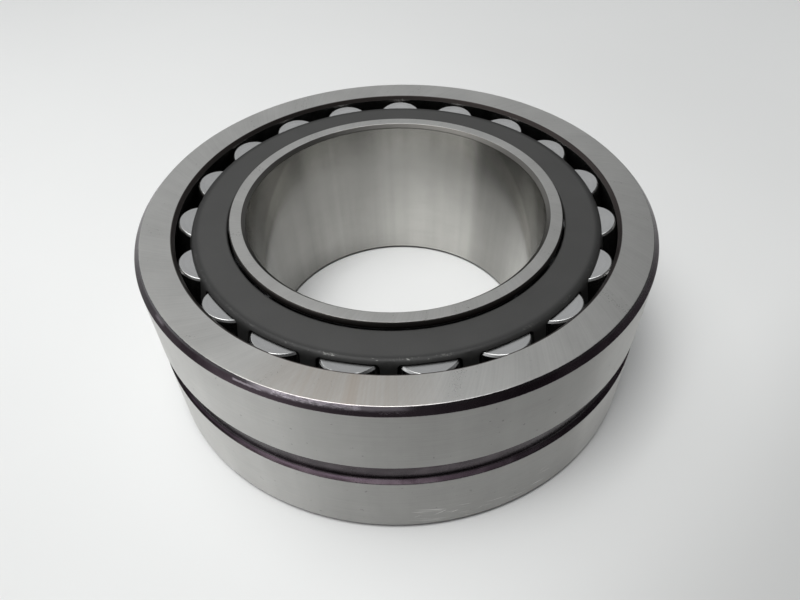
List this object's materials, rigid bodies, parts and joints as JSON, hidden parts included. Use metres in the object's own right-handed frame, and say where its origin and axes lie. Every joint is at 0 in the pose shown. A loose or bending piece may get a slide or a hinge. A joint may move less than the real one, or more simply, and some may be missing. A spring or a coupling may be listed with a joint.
{
  "type": "spherical roller bearing",
  "caption": "Double-row self-aligning roller bearing with a grooved outer ring, barrel rollers in dark pressed cages, and a tapered bore that seats on a shaft or sleeve.",
  "frame": {"origin": "centre of the bearing, on its axis and half way between the faces", "axes": "+Z along the bearing's axis towards the large end of the tapered bore; +X and +Y across it, with an oil hole in the outer ring's groove on +Y"},
  "size_m": [0.215, 0.215, 0.076],
  "materials": {
    "ring_steel": "fine ground, with dark heat-treated chamfers and groove",
    "roller_steel": "lapped, near mirror",
    "cage_steel": "matt dark phosphate on pressed sheet",
    "guide_ring_iron": "fine turned"
  },
  "bodies": {
    "outer_ring": {"outer_ring": "ring_steel"},
    "inner_ring": {"inner_ring": "ring_steel"},
    "guide_ring": {"guide_ring": "guide_ring_iron"},
    "cage_upper": {"cage_upper": "cage_steel"},
    "cage_lower": {"cage_lower": "cage_steel"},
    "roller_upper_01": {"roller_upper_01": "roller_steel"},
    "roller_upper_02": {"roller_upper_02": "roller_steel"},
    "roller_upper_03": {"roller_upper_03": "roller_steel"},
    "roller_upper_04": {"roller_upper_04": "roller_steel"},
    "roller_upper_05": {"roller_upper_05": "roller_steel"},
    "roller_upper_06": {"roller_upper_06": "roller_steel"},
    "roller_upper_07": {"roller_upper_07": "roller_steel"},
    "roller_upper_08": {"roller_upper_08": "roller_steel"},
    "roller_upper_09": {"roller_upper_09": "roller_steel"},
    "roller_upper_10": {"roller_upper_10": "roller_steel"},
    "roller_upper_11": {"roller_upper_11": "roller_steel"},
    "roller_upper_12": {"roller_upper_12": "roller_steel"},
    "roller_upper_13": {"roller_upper_13": "roller_steel"},
    "roller_upper_14": {"roller_upper_14": "roller_steel"},
    "roller_upper_15": {"roller_upper_15": "roller_steel"},
    "roller_upper_16": {"roller_upper_16": "roller_steel"},
    "roller_upper_17": {"roller_upper_17": "roller_steel"},
    "roller_upper_18": {"roller_upper_18": "roller_steel"},
    "roller_upper_19": {"roller_upper_19": "roller_steel"},
    "roller_lower_01": {"roller_lower_01": "roller_steel"},
    "roller_lower_02": {"roller_lower_02": "roller_steel"},
    "roller_lower_03": {"roller_lower_03": "roller_steel"},
    "roller_lower_04": {"roller_lower_04": "roller_steel"},
    "roller_lower_05": {"roller_lower_05": "roller_steel"},
    "roller_lower_06": {"roller_lower_06": "roller_steel"},
    "roller_lower_07": {"roller_lower_07": "roller_steel"},
    "roller_lower_08": {"roller_lower_08": "roller_steel"},
    "roller_lower_09": {"roller_lower_09": "roller_steel"},
    "roller_lower_10": {"roller_lower_10": "roller_steel"},
    "roller_lower_11": {"roller_lower_11": "roller_steel"},
    "roller_lower_12": {"roller_lower_12": "roller_steel"},
    "roller_lower_13": {"roller_lower_13": "roller_steel"},
    "roller_lower_14": {"roller_lower_14": "roller_steel"},
    "roller_lower_15": {"roller_lower_15": "roller_steel"},
    "roller_lower_16": {"roller_lower_16": "roller_steel"},
    "roller_lower_17": {"roller_lower_17": "roller_steel"},
    "roller_lower_18": {"roller_lower_18": "roller_steel"},
    "roller_lower_19": {"roller_lower_19": "roller_steel"}
  },
  "joints": [
    {"name": "self_align", "type": "hinge", "parent": "outer_ring", "child": "guide_ring", "pos_m": [0, 0, 0], "axis": [1, 0, 0], "range_deg": [-2.5, 2.5]},
    {"name": "inner_ring_spin", "type": "hinge", "parent": "guide_ring", "child": "inner_ring", "pos_m": [0, 0, 0], "axis": [0, 0, 1], "continuous": true},
    {"name": "cage_upper_spin", "type": "hinge", "parent": "guide_ring", "child": "cage_upper", "pos_m": [0, 0, 0], "axis": [0, 0, 1], "continuous": true},
    {"name": "cage_lower_spin", "type": "hinge", "parent": "guide_ring", "child": "cage_lower", "pos_m": [0, 0, 0], "axis": [0, 0, 1], "continuous": true},
    {"name": "roller_upper_01_spin", "type": "hinge", "parent": "cage_upper", "child": "roller_upper_01", "pos_m": [0.08246, 0.01678, 0.01958], "axis": [-0.2221, -0.0452, 0.974], "continuous": true},
    {"name": "roller_upper_02_spin", "type": "hinge", "parent": "cage_upper", "child": "roller_upper_02", "pos_m": [0.07255, 0.04264, 0.01958], "axis": [-0.1954, -0.1149, 0.974], "continuous": true},
    {"name": "roller_upper_03_spin", "type": "hinge", "parent": "cage_upper", "child": "roller_upper_03", "pos_m": [0.05477, 0.06389, 0.01958], "axis": [-0.1475, -0.1721, 0.974], "continuous": true},
    {"name": "roller_upper_04_spin", "type": "hinge", "parent": "cage_upper", "child": "roller_upper_04", "pos_m": [0.03106, 0.07821, 0.01958], "axis": [-0.0836, -0.2107, 0.974], "continuous": true},
    {"name": "roller_upper_05_spin", "type": "hinge", "parent": "cage_upper", "child": "roller_upper_05", "pos_m": [0.00398, 0.08406, 0.01958], "axis": [-0.0107, -0.2264, 0.974], "continuous": true},
    {"name": "roller_upper_06_spin", "type": "hinge", "parent": "cage_upper", "child": "roller_upper_06", "pos_m": [-0.02353, 0.0808, 0.01958], "axis": [0.0634, -0.2176, 0.974], "continuous": true},
    {"name": "roller_upper_07_spin", "type": "hinge", "parent": "cage_upper", "child": "roller_upper_07", "pos_m": [-0.04849, 0.06878, 0.01958], "axis": [0.1306, -0.1852, 0.974], "continuous": true},
    {"name": "roller_upper_08_spin", "type": "hinge", "parent": "cage_upper", "child": "roller_upper_08", "pos_m": [-0.06819, 0.04931, 0.01958], "axis": [0.1837, -0.1328, 0.974], "continuous": true},
    {"name": "roller_upper_09_spin", "type": "hinge", "parent": "cage_upper", "child": "roller_upper_09", "pos_m": [-0.08051, 0.02449, 0.01958], "axis": [0.2168, -0.066, 0.974], "continuous": true},
    {"name": "roller_upper_10_spin", "type": "hinge", "parent": "cage_upper", "child": "roller_upper_10", "pos_m": [-0.0841, -0.00298, 0.01958], "axis": [0.2265, 0.008, 0.974], "continuous": true},
    {"name": "roller_upper_11_spin", "type": "hinge", "parent": "cage_upper", "child": "roller_upper_11", "pos_m": [-0.07858, -0.03012, 0.01958], "axis": [0.2116, 0.0811, 0.974], "continuous": true},
    {"name": "roller_upper_12_spin", "type": "hinge", "parent": "cage_upper", "child": "roller_upper_12", "pos_m": [-0.06454, -0.054, 0.01958], "axis": [0.1738, 0.1454, 0.974], "continuous": true},
    {"name": "roller_upper_13_spin", "type": "hinge", "parent": "cage_upper", "child": "roller_upper_13", "pos_m": [-0.04351, -0.07203, 0.01958], "axis": [0.1172, 0.194, 0.974], "continuous": true},
    {"name": "roller_upper_14_spin", "type": "hinge", "parent": "cage_upper", "child": "roller_upper_14", "pos_m": [-0.01776, -0.08226, 0.01958], "axis": [0.0478, 0.2215, 0.974], "continuous": true},
    {"name": "roller_upper_15_spin", "type": "hinge", "parent": "cage_upper", "child": "roller_upper_15", "pos_m": [0.00991, -0.08357, 0.01958], "axis": [-0.0267, 0.2251, 0.974], "continuous": true},
    {"name": "roller_upper_16_spin", "type": "hinge", "parent": "cage_upper", "child": "roller_upper_16", "pos_m": [0.03651, -0.07582, 0.01958], "axis": [-0.0983, 0.2042, 0.974], "continuous": true},
    {"name": "roller_upper_17_spin", "type": "hinge", "parent": "cage_upper", "child": "roller_upper_17", "pos_m": [0.05915, -0.05986, 0.01958], "axis": [-0.1593, 0.1612, 0.974], "continuous": true},
    {"name": "roller_upper_18_spin", "type": "hinge", "parent": "cage_upper", "child": "roller_upper_18", "pos_m": [0.07538, -0.03741, 0.01958], "axis": [-0.203, 0.1008, 0.974], "continuous": true},
    {"name": "roller_upper_19_spin", "type": "hinge", "parent": "cage_upper", "child": "roller_upper_19", "pos_m": [0.08344, -0.01091, 0.01958], "axis": [-0.2247, 0.0294, 0.974], "continuous": true},
    {"name": "roller_lower_01_spin", "type": "hinge", "parent": "cage_lower", "child": "roller_lower_01", "pos_m": [0.07858, 0.03012, -0.01958], "axis": [0.2116, 0.0811, 0.974], "continuous": true},
    {"name": "roller_lower_02_spin", "type": "hinge", "parent": "cage_lower", "child": "roller_lower_02", "pos_m": [0.06454, 0.054, -0.01958], "axis": [0.1738, 0.1454, 0.974], "continuous": true},
    {"name": "roller_lower_03_spin", "type": "hinge", "parent": "cage_lower", "child": "roller_lower_03", "pos_m": [0.04351, 0.07203, -0.01958], "axis": [0.1172, 0.194, 0.974], "continuous": true},
    {"name": "roller_lower_04_spin", "type": "hinge", "parent": "cage_lower", "child": "roller_lower_04", "pos_m": [0.01776, 0.08226, -0.01958], "axis": [0.0478, 0.2215, 0.974], "continuous": true},
    {"name": "roller_lower_05_spin", "type": "hinge", "parent": "cage_lower", "child": "roller_lower_05", "pos_m": [-0.00991, 0.08357, -0.01958], "axis": [-0.0267, 0.2251, 0.974], "continuous": true},
    {"name": "roller_lower_06_spin", "type": "hinge", "parent": "cage_lower", "child": "roller_lower_06", "pos_m": [-0.03651, 0.07582, -0.01958], "axis": [-0.0983, 0.2042, 0.974], "continuous": true},
    {"name": "roller_lower_07_spin", "type": "hinge", "parent": "cage_lower", "child": "roller_lower_07", "pos_m": [-0.05915, 0.05986, -0.01958], "axis": [-0.1593, 0.1612, 0.974], "continuous": true},
    {"name": "roller_lower_08_spin", "type": "hinge", "parent": "cage_lower", "child": "roller_lower_08", "pos_m": [-0.07538, 0.03741, -0.01958], "axis": [-0.203, 0.1008, 0.974], "continuous": true},
    {"name": "roller_lower_09_spin", "type": "hinge", "parent": "cage_lower", "child": "roller_lower_09", "pos_m": [-0.08344, 0.01091, -0.01958], "axis": [-0.2247, 0.0294, 0.974], "continuous": true},
    {"name": "roller_lower_10_spin", "type": "hinge", "parent": "cage_lower", "child": "roller_lower_10", "pos_m": [-0.08246, -0.01678, -0.01958], "axis": [-0.2221, -0.0452, 0.974], "continuous": true},
    {"name": "roller_lower_11_spin", "type": "hinge", "parent": "cage_lower", "child": "roller_lower_11", "pos_m": [-0.07255, -0.04264, -0.01958], "axis": [-0.1954, -0.1149, 0.974], "continuous": true},
    {"name": "roller_lower_12_spin", "type": "hinge", "parent": "cage_lower", "child": "roller_lower_12", "pos_m": [-0.05477, -0.06389, -0.01958], "axis": [-0.1475, -0.1721, 0.974], "continuous": true},
    {"name": "roller_lower_13_spin", "type": "hinge", "parent": "cage_lower", "child": "roller_lower_13", "pos_m": [-0.03106, -0.07821, -0.01958], "axis": [-0.0836, -0.2107, 0.974], "continuous": true},
    {"name": "roller_lower_14_spin", "type": "hinge", "parent": "cage_lower", "child": "roller_lower_14", "pos_m": [-0.00398, -0.08406, -0.01958], "axis": [-0.0107, -0.2264, 0.974], "continuous": true},
    {"name": "roller_lower_15_spin", "type": "hinge", "parent": "cage_lower", "child": "roller_lower_15", "pos_m": [0.02353, -0.0808, -0.01958], "axis": [0.0634, -0.2176, 0.974], "continuous": true},
    {"name": "roller_lower_16_spin", "type": "hinge", "parent": "cage_lower", "child": "roller_lower_16", "pos_m": [0.04849, -0.06878, -0.01958], "axis": [0.1306, -0.1852, 0.974], "continuous": true},
    {"name": "roller_lower_17_spin", "type": "hinge", "parent": "cage_lower", "child": "roller_lower_17", "pos_m": [0.06819, -0.04931, -0.01958], "axis": [0.1837, -0.1328, 0.974], "continuous": true},
    {"name": "roller_lower_18_spin", "type": "hinge", "parent": "cage_lower", "child": "roller_lower_18", "pos_m": [0.08051, -0.02449, -0.01958], "axis": [0.2168, -0.066, 0.974], "continuous": true},
    {"name": "roller_lower_19_spin", "type": "hinge", "parent": "cage_lower", "child": "roller_lower_19", "pos_m": [0.0841, 0.00298, -0.01958], "axis": [0.2265, 0.008, 0.974], "continuous": true}
  ],
  "couplings": [
    {"joint": "cage_upper_spin", "follows": "inner_ring_spin", "ratio": 0.43171},
    {"joint": "cage_lower_spin", "follows": "inner_ring_spin", "ratio": 0.43171},
    {"joint": "roller_upper_01_spin", "follows": "inner_ring_spin", "ratio": -3.4992},
    {"joint": "roller_upper_02_spin", "follows": "inner_ring_spin", "ratio": -3.4992},
    {"joint": "roller_upper_03_spin", "follows": "inner_ring_spin", "ratio": -3.4992},
    {"joint": "roller_upper_04_spin", "follows": "inner_ring_spin", "ratio": -3.4992},
    {"joint": "roller_upper_05_spin", "follows": "inner_ring_spin", "ratio": -3.4992},
    {"joint": "roller_upper_06_spin", "follows": "inner_ring_spin", "ratio": -3.4992},
    {"joint": "roller_upper_07_spin", "follows": "inner_ring_spin", "ratio": -3.4992},
    {"joint": "roller_upper_08_spin", "follows": "inner_ring_spin", "ratio": -3.4992},
    {"joint": "roller_upper_09_spin", "follows": "inner_ring_spin", "ratio": -3.4992},
    {"joint": "roller_upper_10_spin", "follows": "inner_ring_spin", "ratio": -3.4992},
    {"joint": "roller_upper_11_spin", "follows": "inner_ring_spin", "ratio": -3.4992},
    {"joint": "roller_upper_12_spin", "follows": "inner_ring_spin", "ratio": -3.4992},
    {"joint": "roller_upper_13_spin", "follows": "inner_ring_spin", "ratio": -3.4992},
    {"joint": "roller_upper_14_spin", "follows": "inner_ring_spin", "ratio": -3.4992},
    {"joint": "roller_upper_15_spin", "follows": "inner_ring_spin", "ratio": -3.4992},
    {"joint": "roller_upper_16_spin", "follows": "inner_ring_spin", "ratio": -3.4992},
    {"joint": "roller_upper_17_spin", "follows": "inner_ring_spin", "ratio": -3.4992},
    {"joint": "roller_upper_18_spin", "follows": "inner_ring_spin", "ratio": -3.4992},
    {"joint": "roller_upper_19_spin", "follows": "inner_ring_spin", "ratio": -3.4992},
    {"joint": "roller_lower_01_spin", "follows": "inner_ring_spin", "ratio": -3.4992},
    {"joint": "roller_lower_02_spin", "follows": "inner_ring_spin", "ratio": -3.4992},
    {"joint": "roller_lower_03_spin", "follows": "inner_ring_spin", "ratio": -3.4992},
    {"joint": "roller_lower_04_spin", "follows": "inner_ring_spin", "ratio": -3.4992},
    {"joint": "roller_lower_05_spin", "follows": "inner_ring_spin", "ratio": -3.4992},
    {"joint": "roller_lower_06_spin", "follows": "inner_ring_spin", "ratio": -3.4992},
    {"joint": "roller_lower_07_spin", "follows": "inner_ring_spin", "ratio": -3.4992},
    {"joint": "roller_lower_08_spin", "follows": "inner_ring_spin", "ratio": -3.4992},
    {"joint": "roller_lower_09_spin", "follows": "inner_ring_spin", "ratio": -3.4992},
    {"joint": "roller_lower_10_spin", "follows": "inner_ring_spin", "ratio": -3.4992},
    {"joint": "roller_lower_11_spin", "follows": "inner_ring_spin", "ratio": -3.4992},
    {"joint": "roller_lower_12_spin", "follows": "inner_ring_spin", "ratio": -3.4992},
    {"joint": "roller_lower_13_spin", "follows": "inner_ring_spin", "ratio": -3.4992},
    {"joint": "roller_lower_14_spin", "follows": "inner_ring_spin", "ratio": -3.4992},
    {"joint": "roller_lower_15_spin", "follows": "inner_ring_spin", "ratio": -3.4992},
    {"joint": "roller_lower_16_spin", "follows": "inner_ring_spin", "ratio": -3.4992},
    {"joint": "roller_lower_17_spin", "follows": "inner_ring_spin", "ratio": -3.4992},
    {"joint": "roller_lower_18_spin", "follows": "inner_ring_spin", "ratio": -3.4992},
    {"joint": "roller_lower_19_spin", "follows": "inner_ring_spin", "ratio": -3.4992}
  ]
}
